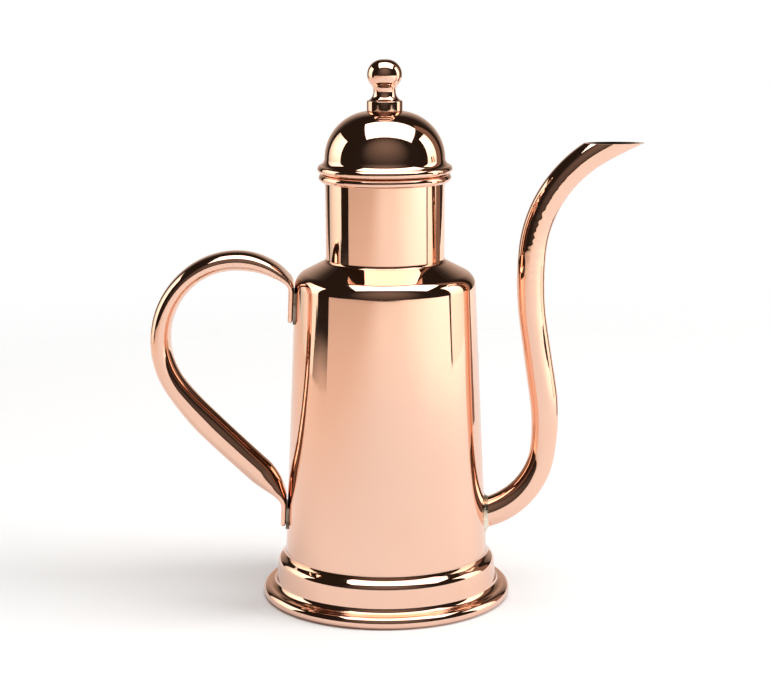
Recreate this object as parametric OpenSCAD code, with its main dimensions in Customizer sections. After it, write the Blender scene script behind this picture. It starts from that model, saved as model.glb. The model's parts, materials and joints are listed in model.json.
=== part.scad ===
// Copper pourer with a lift-off domed lid, a long swan-neck spout and a hollow loop handle.
// Millimetres, +Z up. The origin is on the pot's axis, in the plane it stands on.
// The spout leaves along +X and the handle along -X.

/* [Sheet and wire] */
// Thickness of the spun copper sheet
sheet_t = 0.9; // [0.8:0.1:1]
// Radius of the wire rolled into the mouth and the lid's rim
rim_wire_r = 0.95; // [0.8:0.05:1.1]
// Radius of the heavier wire rolled into the foot's edge
foot_wire_r = 1.75; // [1.5:0.05:2]

/* [Body] */
// Outer radius the wall would have at the standing plane
wall_r0 = 46; // [44:0.5:48]
// How much the wall's radius shrinks for each millimetre of height
wall_taper = 0.0445; // [0.04:0.001:0.05]
// Height of the wall's lower edge, hidden inside the foot
wall_bottom_z = 8.2; // [7:0.1:10]
// Height of the corner where wall and shoulder would meet if it were sharp
shoulder_z = 144.4; // [140:0.2:150]
// Slope of the shoulder above level
shoulder_angle = 27.5; // [22:0.5:32]
// Radius of the rounded shoulder
shoulder_round = 7; // [5:0.5:9]

/* [Neck] */
// Outer radius of the neck
neck_r = 26; // [25:0.25:27]
// Height of the middle of the rolled bead round the mouth
mouth_bead_z = 187.75; // [180:0.25:195]
// Radius of the brazed corner between shoulder and neck
neck_fillet = 1.75; // [1:0.25:2.5]

/* [Foot] */
// Outer radius at the top of the foot's wall
foot_wall_top_r = 48.3; // [48:0.1:49.5]
// Outer radius at the bottom of the foot's wall
foot_wall_low_r = 49.5; // [49.5:0.1:50.5]
// Height of the step where the foot meets the pot's wall
foot_step_z = 19.6; // [17:0.1:22]
// Slope of the foot's step below level
foot_slope = 43; // [38:1:50]
// Radius of the brazed corner between the wall and the foot's step
foot_fillet = 3; // [2:0.25:3.5]
// Overall radius of the foot
foot_r = 55.3; // [54.5:0.1:58]
// Radius of the round at the top of the foot
foot_round = 3.4; // [2:0.2:4]
// How much of the rolled edge's underside is worn flat
foot_flat_depth = 0.05; // [0.04:0.01:0.1]

/* [Spout] */
// Distance from the axis at which the tube starts, inside the wall
spout_start_r = 41.5; // [40:0.1:42]
// Height at which the tube starts
spout_start_z = 35.6; // [33:0.1:38]
// Direction in which the tube leaves the wall, above level
spout_heading = 17; // [12:1:20]
// Outer diameter of the tube at its root
spout_root_d = 13.4; // [12.6:0.2:14]
// Wall thickness of the tube
spout_t = 0.9; // [0.7:0.1:1.2]
// Height of the level cut that opens the mouth
spout_cut_z = 202.3; // [198:0.1:206]

/* [Handle] */
// Height at which the upper tab ends
handle_start_z = 124.8; // [122:0.1:127]
// Perimeter of the tube, given as the diameter it has when round
handle_d = 12.2; // [11:0.2:13]
// Wall thickness of the tube
handle_t = 1.1; // [0.9:0.1:1.1]
// Thickness of the flattened ends
tab_t = 2.4; // [2.4:0.1:3]

/* [Lid] */
// Outer radius of the lid's rolled rim
lid_r = 29.35; // [29:0.05:30]
// Outer radius of the dome where it rises from the rim
dome_r = 26.2; // [26:0.1:26.6]
// Radius of the dome's arc
dome_round = 20.6; // [18:0.2:22]
// Height of the top of the dome
dome_top_z = 216.5; // [212:0.5:220]
// Depth of the collar below the mouth's top
collar_depth = 11.6; // [8:0.2:14]
// Radial play between the collar and the neck
collar_play = 0.35; // [0.3:0.05:0.5]

/* [Knob] */
// Radius of the knob's plinth
plinth_r = 7.72; // [7:0.1:8.5]
// Radius of the knob's waist
waist_r = 4.8; // [4.4:0.1:5.2]
// Radius of the arc that rounds the ball
ball_round = 6.5; // [6:0.1:7]
// Radius of the screw that holds the knob
screw_r = 2; // [1.5:0.25:2]

/* [Hidden] */
$fn = 96;

copper = "#c9835f";
silver = "#cfc6b4";
brass = "#c9a24e";

gap = 0.05;              // soldering gap between two pieces
seam = 0.08;             // the same where both faces are round
tab_gap = 0.15;          // gap between the upper flat tab and the round wall, at its middle
seat = 0.2;              // gap between the lid's rim and the mouth's bead
arc_steps = 10;          // straight pieces in a rounded corner
bead_steps = 24;         // straight pieces in a rolled bead
tube_sides = 20;         // sides of a swept tube
row_steps = 6;           // rings in each row of a bending table

function wall_r(z) = wall_r0 - wall_taper * z;
wall_lean = atan(wall_taper);

// Bending tables: [length, turn to the left, outer thickness at the row's end].
spout_bends = [
    [5, 0, spout_root_d], [27.5, 46.5, 11.9], [10, 18, 11.4], [29, 17, 12.5],
    [28.5, 0, 12], [34, -13.5, 12.2], [55, -55.5, 12.2], [45, -14, 12]
];
handle_bends = [
    [14.36, 0, tab_t], [4, 50.5, 3.4], [8, 13.7, 6.5], [14.235, 24.3, 8.7], [23.7, 41.4, 8.4],
    [30, 47.3, 9], [27, 41.4, 10.6], [23.4, 9.4, 12.4], [28.45, 1.5, 12.2],
    [8, -4.5, 9.6], [5.5, -6, 5.3], [5.5, -39, tab_t], [8.6, 0, tab_t]
];

spout_start = [spout_start_r, spout_start_z];
handle_start = [-wall_r(handle_start_z) - tab_t / 2 - tab_gap, handle_start_z];
mouth_bead_r = neck_r + rim_wire_r;                    // circle of the mouth wire's axis
mouth_top_z = mouth_bead_z + rim_wire_r + sheet_t;
lid_wire_r = rim_wire_r - 0.1;
lid_bead_round = lid_wire_r + sheet_t;
lid_bead_r = lid_r - lid_bead_round;
lid_bead_z = mouth_top_z + seat + lid_bead_round;
foot_bead_round = foot_wire_r + sheet_t;
foot_bead_r = foot_r - foot_bead_round;
foot_bead_z = foot_bead_round - foot_flat_depth;
foot_top_z = foot_bead_z + foot_bead_round;
plate_z = wall_bottom_z + 3.4;                         // upper face of the bottom plate
neck_foot_z = 147;                                     // lower end of the neck, inside the shoulder
collar_r = neck_r - sheet_t - collar_play;
collar_low_z = mouth_top_z - collar_depth;
collar_top_z = lid_bead_z + 4.4;

// ---------- outlines ----------

function unit(v) = v / norm(v);
function left(v) = [-v[1], v[0]];
function cross2(a, b) = a[0] * b[1] - a[1] * b[0];
function reversed(p) = [for (i = [len(p) - 1 : -1 : 0]) p[i]];
function arc(centre, r, a0, a1, n = arc_steps) =
    [for (i = [0 : n]) centre + r * [cos(a0 + (a1 - a0) * i / n), sin(a0 + (a1 - a0) * i / n)]];

// A path is a list of [r, z, corner radius]; these give a corner's place and its two directions.
function spot(p, i) = [p[i][0], p[i][1]];
function way_in(p, i) = i > 0 ? unit(spot(p, i) - spot(p, i - 1)) : unit(spot(p, 1) - spot(p, 0));
function way_out(p, i) = i < len(p) - 1 ? unit(spot(p, i + 1) - spot(p, i)) : way_in(p, i);

// The same path moved d to its left, as the other face of a sheet of thickness d.
function offset_path(p, d) = [
    for (i = [0 : len(p) - 1])
        let (a = way_in(p, i), b = way_out(p, i), q = spot(p, i) + left(a + b) * d / (1 + a * b))
        [q[0], q[1], p[i][2] > 0 ? max(0.05, p[i][2] - d * sign(cross2(a, b))) : 0]
];

// The path with each corner replaced by its arc.
function rounded(p) = [
    for (i = [0 : len(p) - 1])
        let (
            a = way_in(p, i), b = way_out(p, i), side = sign(cross2(a, b)),
            turn = acos(max(-1, min(1, a * b))), r = p[i][2],
            from = spot(p, i) - a * r * tan(turn / 2), hub = from + left(a) * r * side,
            start = atan2(from[1] - hub[1], from[0] - hub[0])
        )
        each (r > 0 && turn > 0.5 ? arc(hub, r, start, start + turn * side) : [spot(p, i)])
];

// Both faces of a sheet that follows a path; the sheet lies to the path's left.
function sheet(p, t = sheet_t) = concat(rounded(p), reversed(rounded(offset_path(p, t))));

module spin(outline) rotate_extrude() polygon(outline);
module ring(r, z, wire) translate([0, 0, z]) rotate_extrude() translate([r, 0]) circle(r = wire);

// ---------- swept tubes ----------

// Points along a bending table: [x, z, heading, thickness].
function walk(table, row, state) =
    row >= len(table) ? [] :
    let (
        step = table[row][0] / row_steps, turn = table[row][1] / row_steps,
        t0 = state[3], t1 = table[row][2],
        chord = turn == 0 ? step : step * sin(abs(turn) / 2) / (abs(turn) / 2 * PI / 180),
        path = [
            for (
                i = 0, h = state[2], x = state[0], z = state[1];
                i <= row_steps;
                x = x + chord * cos(h + turn / 2), z = z + chord * sin(h + turn / 2),
                h = h + turn, i = i + 1
            ) [x, z, h, t0 + (t1 - t0) * (1 - cos(180 * i / row_steps)) / 2]
        ]
    )
    concat([for (i = [1 : row_steps]) path[i]], walk(table, row + 1, path[row_steps]));
function route(table, start, heading, t) =
    let (first = [start[0], start[1], heading, t]) concat([first], walk(table, 0, first));

// Half the breadth that a tube keeps across when it is flattened to half thickness a.
function half_breadth(a, d) = sqrt(max(0.01, d * d / 2 - a * a));

// One ring of points square to the route; squareness 2 is an ellipse, more is flatter.
function section(at, a, b, squareness) = [
    for (k = [0 : tube_sides - 1])
        let (
            c = cos(360 * k / tube_sides), s = sin(360 * k / tube_sides),
            u = a * sign(c) * pow(abs(c), 2 / squareness),
            v = b * sign(s) * pow(abs(s), 2 / squareness)
        )
        [at[0] - sin(at[2]) * u, v, at[1] + cos(at[2]) * u]
];

// A hollow tube open at both ends, from its outer and inner rings.
module tube(outer, inner) {
    rings = len(outer);
    n = tube_sides;
    inside = rings * n;
    polyhedron(
        points = concat([for (r = outer) each r], [for (r = inner) each r]),
        faces = concat(
            [for (i = [0 : rings - 2], k = [0 : n - 1])
                [i * n + k, (i + 1) * n + k, (i + 1) * n + (k + 1) % n, i * n + (k + 1) % n]],
            [for (i = [0 : rings - 2], k = [0 : n - 1]) let (o = inside + i * n)
                [o + (k + 1) % n, o + n + (k + 1) % n, o + n + k, o + k]],
            [for (k = [0 : n - 1]) [(k + 1) % n, inside + (k + 1) % n, inside + k, k]],
            [for (k = [0 : n - 1]) let (e = (rings - 1) * n)
                [e + k, inside + e + k, inside + e + (k + 1) % n, e + (k + 1) % n]]
        ),
        convexity = 8
    );
}

// ---------- the pot ----------

// Outer face of the wall and shoulder, from the hidden lower edge to just past the neck's hole.
shoulder_corner = [wall_r(shoulder_z), shoulder_z];
shoulder_run = shoulder_corner[0] - neck_r - gap;
neck_corner_z = shoulder_z + shoulder_run * tan(shoulder_angle);
shell_path = [
    [wall_r(wall_bottom_z), wall_bottom_z, 0],
    [shoulder_corner[0], shoulder_corner[1], shoulder_round],
    [neck_r - 1, neck_corner_z + (1 + gap) * tan(shoulder_angle), 0]
];

// A solid cone a little outside the wall, used to fit pieces against it.
module wall_cone(clear) cylinder(r1 = wall_r(0) + clear, r2 = wall_r(160) + clear, h = 160, $fn = 720);

// A cylinder along the spout's straight root, from a distance behind its start.
module spout_axis(from, h, r1, r2)
    translate([spout_start[0], 0, spout_start[1]])
        rotate([0, 90 - spout_heading, 0])
            translate([0, 0, from]) cylinder(r1 = r1, r2 = r2, h = h, $fn = 240);

// Wall and shoulder, spun from one sheet, with the holes that take the neck and the spout.
module body_shell() {
    hole_r = spout_root_d / 2 + gap;
    color(copper) difference() {
        spin(sheet(shell_path));
        cylinder(r = neck_r + gap, h = 200);
        spout_axis(-6, 18, hole_r, hole_r);
    }
}

// The neck passes through the shoulder's hole and its top is rolled outward over a wire.
module neck_tube() {
    bead = [mouth_bead_r, mouth_bead_z];
    roll_end = -125;
    color(copper) spin(concat(
        [[neck_r, neck_foot_z]],
        arc(bead, rim_wire_r, 180, roll_end, bead_steps),
        arc(bead, rim_wire_r + sheet_t, roll_end, 180, bead_steps),
        [[neck_r - sheet_t, neck_foot_z]]
    ));
}

module mouth_wire() color(copper) ring(mouth_bead_r, mouth_bead_z, rim_wire_r - gap);

// Brazing that rounds the corner between shoulder and neck.
module neck_solder() {
    foot = [neck_r + 4, neck_corner_z - 4 * tan(shoulder_angle)];
    corner = rounded([
        [foot[0], foot[1], 0], [neck_r + gap, neck_corner_z + gap, neck_fillet], [neck_r + gap, 160, 0]
    ]);
    arc_only = [for (i = [1 : len(corner) - 2]) corner[i]];
    color(copper) spin(concat([[neck_r + gap, neck_corner_z + gap]], arc_only));
}

// Flat bottom with a rim turned down inside the wall.
module bottom_plate() {
    rim_r = wall_r(plate_z) - sheet_t - 0.2;
    color(copper) spin(concat(
        [[0, plate_z]],
        rounded([[rim_r - 3, plate_z, 0], [rim_r, plate_z, 1.6], [rim_r, wall_bottom_z, 0]]),
        reversed(rounded([
            [rim_r - 3, plate_z - sheet_t, 0], [rim_r - sheet_t, plate_z - sheet_t, 0.7],
            [rim_r - sheet_t, wall_bottom_z, 0]
        ])),
        [[0, plate_z - sheet_t]]
    ));
}

// Solder run into the groove between the bottom plate and the wall.
module bottom_solder() {
    z = plate_z + 2 * gap;
    wall_side = [for (h = [z - 0.8, z + 1]) [wall_r(h) - sheet_t - seam, h]];
    r = wall_side[1][0];
    color(silver) spin(concat(wall_side, [[r - 0.5, z + 0.35], [r - 1.6, z + 0.02], [r - 1.4, z]]));
}

// Stepped foot, spun from one sheet and rolled under at its edge over a heavy wire.
module foot_ring() {
    edge = [foot_bead_r, foot_bead_z];
    flat_a = asin(foot_bead_z / foot_bead_round);      // where the roll meets the standing plane
    roll_end = -200;
    seat_r = wall_r(foot_step_z) + gap;
    wall_side = [
        [seat_r, foot_step_z, 0],
        [foot_wall_top_r, foot_step_z - (foot_wall_top_r - seat_r) * tan(foot_slope), foot_round],
        [foot_wall_low_r, foot_top_z, 3], [foot_bead_r + 0.4, foot_top_z, 0]
    ];
    outer = rounded(wall_side);
    // The sheet's upper end lies along the wall, so its inner side starts further down the slope.
    along = sheet_t * (sin(foot_slope) + wall_taper * cos(foot_slope))
        / (cos(foot_slope) - wall_taper * sin(foot_slope));
    seat = [seat_r - sheet_t * sin(foot_slope) + along * cos(foot_slope),
        foot_step_z - sheet_t * cos(foot_slope) - along * sin(foot_slope)];
    under = rounded(offset_path(wall_side, -sheet_t));
    inner = concat([seat], [for (i = [1 : len(under) - 1]) under[i]]);
    color(copper) spin(concat(
        [for (i = [0 : len(outer) - 2]) outer[i]],
        arc(edge, foot_bead_round, 90, -flat_a, bead_steps),
        arc(edge, foot_bead_round, flat_a - 180, roll_end, bead_steps / 2),
        arc(edge, foot_wire_r, roll_end, 90, bead_steps),
        reversed([for (i = [0 : len(inner) - 2]) inner[i]])
    ));
}

module foot_wire() color(copper) ring(foot_bead_r, foot_bead_z, foot_wire_r - gap);

// Brazing that seals the foot's step to the wall.
module foot_solder() {
    z = foot_step_z + gap;
    r = wall_r(z) + gap;
    corner = rounded([
        [r + 4, z - 4 * tan(foot_slope), 0], [r, z, foot_fillet], [wall_r(z + 9) + gap, z + 9, 0]
    ]);
    arc_only = [for (i = [1 : len(corner) - 2]) corner[i]];
    color(copper) spin(concat([[r, z]], arc_only));
}

// ---------- the spout ----------

spout_route = route(spout_bends, spout_start, spout_heading, spout_root_d);

// Swan-neck tube, cut level at the top so that the mouth opens upward to a pointed lip.
module spout_tube() {
    color(copper) difference() {
        tube(
            [for (s = spout_route) section(s, s[3] / 2, s[3] / 2, 2)],
            [for (s = spout_route) section(s, s[3] / 2 - spout_t, s[3] / 2 - spout_t, 2)]
        );
        translate([60, -20, spout_cut_z]) cube([80, 40, 30]);
    }
}

// Ring of silver solder where the tube enters the wall.
module spout_solder() {
    r = spout_root_d / 2;
    color(silver) difference() {
        spout_axis(0, 5.3, r + 2.4, r + 0.15);
        spout_axis(-1, 8, r + gap / 2, r + gap / 2);
        wall_cone(gap / 2);
    }
}

// ---------- the handle ----------

handle_route = route(handle_bends, handle_start, 90 - wall_lean, tab_t);
function handle_section(s, a, b) = section(s, a, b, 2 + 5 * pow(max(0, 1 - s[3] / handle_d), 3));

// Loop of tube with both ends flattened and folded down to lie on the wall.
module handle_tube() {
    color(copper) tube(
        [for (s = handle_route) handle_section(s, s[3] / 2, half_breadth(s[3] / 2, handle_d))],
        [for (s = handle_route)
            handle_section(s, s[3] / 2 - handle_t, half_breadth(s[3] / 2, handle_d) - handle_t)]
    );
}

// Solder that fills the wedge between a flat tab and the round wall, given the tab's gap.
module tab_solder(mid_z, height, clear) {
    breadth = 2 * half_breadth(tab_t / 2, handle_d) - 1;
    face = wall_r(mid_z) + clear - 0.02;
    color(silver) difference() {
        translate([-face, 0, mid_z]) rotate([0, wall_lean, 0])
            translate([0, -breadth / 2, -height / 2]) cube([2.2, breadth, height]);
        wall_cone(gap / 2);
    }
}

module handle_solder_top() tab_solder(131, 13.6, tab_gap);
module handle_solder_low() {
    end = handle_route[len(handle_route) - 1];
    tab_solder(36, 9.4, -end[0] - tab_t / 2 - wall_r(end[1]));
}

// ---------- the lid ----------

// Domed cap; its rim flares out and is rolled under over a wire.
module lid_dome() {
    bead = [lid_bead_r, lid_bead_z];
    flare = 3.5;
    roll_end = -165;
    hub_r = dome_r + flare;                             // centre of the flare between dome and rim
    touch = acos((hub_r - lid_bead_r) / (flare + lid_bead_round));
    hub = [hub_r, lid_bead_z + (flare + lid_bead_round) * sin(touch)];
    top = [[screw_r + 0.2, dome_top_z, 0], [dome_r, dome_top_z, dome_round], [dome_r, hub[1], 0]];
    color(copper) spin(concat(
        rounded(top),
        arc(hub, flare, 180, 180 + touch),
        arc(bead, lid_bead_round, touch, roll_end, bead_steps),
        arc(bead, lid_wire_r, roll_end, touch, bead_steps),
        reversed(arc(hub, flare + sheet_t, 180, 180 + touch)),
        reversed(rounded(offset_path(top, -sheet_t)))
    ));
}

module lid_wire() color(copper) ring(lid_bead_r, lid_bead_z, lid_wire_r - gap);

// Collar that drops into the neck and keeps the lid centred.
module lid_collar() {
    lead = 0.5;
    color(copper) spin([
        [collar_r, collar_low_z + lead], [collar_r, collar_top_z],
        [collar_r - sheet_t, collar_top_z], [collar_r - sheet_t, collar_low_z],
        [collar_r - lead, collar_low_z]
    ]);
}

// Solder between the collar and the inside of the dome.
module lid_solder() {
    color(silver) spin([
        [collar_r + seam, collar_top_z - 1.6], [dome_r - sheet_t - seam, collar_top_z - 0.6],
        [dome_r - sheet_t - seam, collar_top_z + 0.6], [collar_r + seam, collar_top_z]
    ]);
}

// Turned knob: plinth, waist and ball, with a tapped hole from below.
module knob() {
    plinth_h = 4.4;
    waist_round = 4.4;
    waist_hub = [waist_r + waist_round, dome_top_z + 8.4];
    ball_hub_r = 1.03;
    // height at which the ball's arc touches the waist's arc
    rise = sqrt(pow(ball_round + waist_round, 2) - pow(waist_hub[0] - ball_hub_r, 2));
    ball_hub = [ball_hub_r, waist_hub[1] + rise];
    meet = atan2(rise, ball_hub_r - waist_hub[0]);
    color(copper) difference() {
        spin(concat(
            [[0, dome_top_z], [plinth_r - 0.2, dome_top_z], [plinth_r, dome_top_z + 0.2]],
            [[plinth_r, dome_top_z + plinth_h - 0.4], [plinth_r - 0.4, dome_top_z + plinth_h]],
            arc(waist_hub, waist_round, 240, meet, 14),
            arc(ball_hub, ball_round, meet - 180, 90, 20),
            [[0, ball_hub[1] + ball_round]]
        ));
        translate([0, 0, dome_top_z - 1]) cylinder(r = screw_r + 0.02, h = 10.2);
    }
}

module knob_washer() {
    washer_t = 0.8;
    color(brass) translate([0, 0, dome_top_z - sheet_t - washer_t]) difference() {
        cylinder(r = 4.8, h = washer_t);
        translate([0, 0, -1]) cylinder(r = screw_r + 0.15, h = washer_t + 2);
    }
}

// Slotted pan-head screw that pulls the knob down on the dome.
module knob_screw() {
    head_z = dome_top_z - sheet_t - 0.8;
    head_h = 2.2;
    color(brass) difference() {
        union() {
            translate([0, 0, head_z - head_h]) cylinder(r1 = 3.2, r2 = 3.8, h = head_h);
            translate([0, 0, head_z - 0.1]) cylinder(r = screw_r - 0.03, h = 10);
        }
        translate([-5, -0.5, head_z - head_h - 1]) cube([10, 1, 1.9]);
    }
}

body_shell();
neck_tube();
mouth_wire();
neck_solder();
bottom_plate();
bottom_solder();
foot_ring();
foot_wire();
foot_solder();
spout_tube();
spout_solder();
handle_tube();
handle_solder_top();
handle_solder_low();
lid_dome();
lid_wire();
lid_collar();
lid_solder();
knob();
knob_washer();
knob_screw();
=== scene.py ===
# %% [markdown]
# # A copper coffee pourer
# The real pot is made by a coppersmith: sheet copper spun on a lathe for the body, neck, foot and
# lid, drawn copper tube for the spout and handle, and silver solder for the joints. At the end
# everything is polished until it is a mirror. A mirror has almost no colour of its own, so its
# looks come from three things that this script builds in turn: smooth and exact surfaces, a metal
# with very fine marks, and a studio that is worth reflecting.
#
# The CAD model is loaded first. Its facets are fine for fitting and motion, but a mirror shows
# every facet, so each piece that shows is made again here as a dense smooth mesh with the same
# sizes.

# %% Load the CAD frame
import bmesh
import bpy
import json
import math
from mathutils import Matrix, Vector, noise

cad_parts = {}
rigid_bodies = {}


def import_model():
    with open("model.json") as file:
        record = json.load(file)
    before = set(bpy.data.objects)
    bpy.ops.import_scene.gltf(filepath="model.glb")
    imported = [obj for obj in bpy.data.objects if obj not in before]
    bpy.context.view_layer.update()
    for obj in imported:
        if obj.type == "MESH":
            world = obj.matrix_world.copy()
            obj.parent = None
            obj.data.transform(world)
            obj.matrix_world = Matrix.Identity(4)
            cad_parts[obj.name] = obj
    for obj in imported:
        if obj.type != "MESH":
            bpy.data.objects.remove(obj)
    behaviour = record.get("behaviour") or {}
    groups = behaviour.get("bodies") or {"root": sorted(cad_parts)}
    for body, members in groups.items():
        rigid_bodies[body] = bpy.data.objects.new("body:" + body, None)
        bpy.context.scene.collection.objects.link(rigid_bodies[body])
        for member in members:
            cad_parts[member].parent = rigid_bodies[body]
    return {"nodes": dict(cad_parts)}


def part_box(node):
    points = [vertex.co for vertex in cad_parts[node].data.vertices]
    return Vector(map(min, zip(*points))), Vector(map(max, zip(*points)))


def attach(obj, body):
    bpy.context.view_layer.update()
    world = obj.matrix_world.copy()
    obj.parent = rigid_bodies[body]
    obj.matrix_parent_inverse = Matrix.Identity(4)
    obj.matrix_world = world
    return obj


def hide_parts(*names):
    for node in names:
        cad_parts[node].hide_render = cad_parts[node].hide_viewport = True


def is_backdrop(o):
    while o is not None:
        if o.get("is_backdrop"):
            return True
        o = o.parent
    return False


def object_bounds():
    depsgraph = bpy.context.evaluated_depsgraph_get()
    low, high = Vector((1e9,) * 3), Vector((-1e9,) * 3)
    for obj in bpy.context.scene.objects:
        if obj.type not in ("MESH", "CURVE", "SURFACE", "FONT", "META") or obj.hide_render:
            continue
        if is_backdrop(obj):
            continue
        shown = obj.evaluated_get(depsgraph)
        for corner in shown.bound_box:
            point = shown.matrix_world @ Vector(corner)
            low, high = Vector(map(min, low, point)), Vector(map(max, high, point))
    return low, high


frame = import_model()
cad_low, cad_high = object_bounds()
MM = 0.001
print("overall size, mm:", [round((b - a) / MM, 1) for a, b in zip(cad_low, cad_high)])


# %% [markdown]
# ## Sizes
# Heights and radii are read from the CAD nodes' boxes where a box gives them, so the two models
# can't drift apart. What a box can't give, such as a slope, a round or how a tube bends, is
# repeated here as a named value. All of these are in millimetres, like the drawing of the pot.

# %% Sizes read from the CAD nodes
def low_z(node):
    """Height of a node's lowest point, mm."""
    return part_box(node)[0].z / MM


def high_z(node):
    """Height of a node's highest point, mm."""
    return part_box(node)[1].z / MM


def radius(node):
    """Largest radius of a round node, mm, from its breadth across the pot."""
    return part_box(node)[1].y / MM


SHEET = 0.9                      # thickness of the copper sheet
GAP = 0.05                       # soldering gap
RIM_WIRE = 0.95                  # radius of the mouth's wire
FOOT_WIRE = 1.75                 # radius of the foot's wire
TAPER = 0.0445                   # loss of wall radius per mm of height
WALL_LOW = low_z("body_shell")
WALL_R0 = 46.0                   # wall radius carried down to the standing plane
SHOULDER_Z = 144.4
SHOULDER_SLOPE = math.radians(27.5)
SHOULDER_ROUND = 7.0
NECK_R = 26.0
MOUTH_R = radius("neck_tube")
MOUTH_TOP = high_z("neck_tube")
FOOT_R = radius("foot_ring")
FOOT_STEP = high_z("foot_ring")
LID_R = radius("lid_dome")
DOME_R = 26.2
DOME_TOP = high_z("lid_dome")
DOME_ROUND = 20.6
KNOB_TOP = high_z("knob")


def wall_radius(z):
    """Outer radius of the tapered wall at height z."""
    return WALL_R0 - TAPER * z


print("mouth", round(MOUTH_R, 2), "foot", round(FOOT_R, 2), "lid", round(LID_R, 2),
      "dome top", round(DOME_TOP, 2), "knob top", round(KNOB_TOP, 2))


# %% [markdown]
# ## Drawing an outline
# A spun piece is one outline turned round the pot's axis. The outline is drawn as a coppersmith
# draws a template: straight lines, and a round where two lines meet. A list of (radius, height,
# round) corners is the shortest way to say that. The curve could also be a Bezier object with a
# Screw modifier, but then its rounds would only be approximate circles, and a mirror shows that.

# %% Lines, rounds and sheets
def arc(hub, r, start, end, step=2.5):
    """Points on a circle from one angle to another, in degrees, a few degrees apart."""
    count = max(2, round(abs(end - start) / step))
    angles = [math.radians(start + (end - start) * i / count) for i in range(count + 1)]
    return [(hub[0] + r * math.cos(a), hub[1] + r * math.sin(a)) for a in angles]


def corner_directions(path, i):
    """Directions into and out of a corner of the path."""
    spots = [Vector(p[:2]) for p in path]
    way_in = (spots[i] - spots[i - 1]).normalized() if i else (spots[1] - spots[0]).normalized()
    way_out = (spots[i + 1] - spots[i]).normalized() if i < len(path) - 1 else way_in
    return way_in, way_out


def rounded(path):
    """The path with each corner that has a round replaced by its arc."""
    points = []
    for i, (x, z, r) in enumerate(path):
        a, b = corner_directions(path, i)
        turn = a.angle(b)
        if r <= 0 or turn < 0.01:
            points.append((x, z))
            continue
        side = 1 if a.cross(b) > 0 else -1
        start = Vector((x, z)) - a * r * math.tan(turn / 2)
        hub = start + Vector((-a.y, a.x)) * r * side
        first = math.degrees(math.atan2(start.y - hub.y, start.x - hub.x))
        points += arc(hub, r, first, first + math.degrees(turn) * side)
    return points


def moved_left(path, distance):
    """The other face of a sheet that follows the path."""
    moved = []
    for i, (x, z, r) in enumerate(path):
        a, b = corner_directions(path, i)
        shift = Vector((-(a + b).y, (a + b).x)) * distance / (1 + a.dot(b))
        side = 1 if a.cross(b) > 0 else -1
        moved.append((x + shift.x, z + shift.y, max(0.05, r - distance * side) if r > 0 else 0))
    return moved


wall_slope_check = [round(wall_radius(z), 2) for z in (0, 72, SHOULDER_Z)]
print("wall radius at the bottom, middle and shoulder:", wall_slope_check)


# %% [markdown]
# ## Turning an outline into a mesh
# The outline is turned round the axis in many steps. Three details matter for a mirror. Long
# straight parts are cut into short rings, or the shading bends where a line meets a round. Real
# edges are marked sharp and everything else is smooth. And a hand-polished wall is never a perfect
# cone: it waves by a few hundredths of a millimetre, which makes reflections look alive, so a
# slow noise moves the surface by that much. The inner side of a sheet isn't polished, so its faces
# get a second material.

# %% Spinning a piece
TURNS = 288                      # steps round the pot
RING_STEP = 1.6                  # longest straight piece of an outline, mm


def short_steps(points, closed):
    """The same outline with long straight pieces cut up, and each point's original number."""
    result = []
    last = len(points) if closed else len(points) - 1
    for i in range(last):
        a, b = Vector(points[i]), Vector(points[(i + 1) % len(points)])
        pieces = max(1, math.ceil((b - a).length / RING_STEP))
        result += [(a.lerp(b, k / pieces), i) for k in range(pieces)]
    if not closed:
        result.append((Vector(points[-1]), last - 1))
    return result


def polish_wave(place, amount):
    """How far hand polishing has moved a point of the surface, mm."""
    slow = noise.noise(Vector(place) * 0.045)
    quick = noise.noise(Vector(place) * 0.13 + Vector((7.0, 3.0, 1.0)))
    return amount * (slow + 0.35 * quick)


def finish_mesh(mesh, sharp_degrees=32):
    """Smooth faces with sharp real edges."""
    mesh.validate()
    mesh.polygons.foreach_set("use_smooth", [True] * len(mesh.polygons))
    mesh.set_sharp_from_angle(angle=math.radians(sharp_degrees))
    mesh.update()
    return mesh


def piece_from(bm, name, sharp_degrees=32):
    """An object with the bmesh as its finished mesh. The bmesh is freed."""
    bmesh.ops.recalc_face_normals(bm, faces=bm.faces)
    mesh = bpy.data.meshes.new(name)
    bm.to_mesh(mesh)
    bm.free()
    piece = bpy.data.objects.new(name, finish_mesh(mesh, sharp_degrees))
    bpy.context.scene.collection.objects.link(piece)
    return piece


def spin_piece(name, points, inside_from=None, inside_to=None, wave=0.0, turns=TURNS, closed=True):
    """A mesh object made by turning an outline of (radius, height) points, in mm, round Z."""
    rings = short_steps(points, closed)
    bm = bmesh.new()
    columns = []
    for spot, _ in rings:
        if spot.x < 1e-6:
            columns.append([bm.verts.new((0, 0, spot.y * MM))])
            continue
        column = []
        for k in range(turns):
            angle = 2 * math.pi * k / turns
            place = (spot.x * math.cos(angle), spot.x * math.sin(angle), spot.y)
            r = spot.x + (polish_wave(place, wave) if wave else 0)
            column.append(bm.verts.new((r * math.cos(angle) * MM, r * math.sin(angle) * MM,
                                        spot.y * MM)))
        columns.append(column)
    pairs = list(range(len(rings))) if closed else list(range(len(rings) - 1))
    for i in pairs:
        a, b = columns[i], columns[(i + 1) % len(columns)]
        inner = inside_from is not None and inside_from <= rings[i][1] < (inside_to or len(points))
        for k in range(turns):
            j = (k + 1) % turns
            loop = [a[k % len(a)], a[j % len(a)], b[j % len(b)], b[k % len(b)]]
            loop = [v for n, v in enumerate(loop) if v not in loop[:n]]
            if len(loop) > 2:
                bm.faces.new(loop).material_index = 1 if inner else 0
    return piece_from(bm, name)


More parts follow.
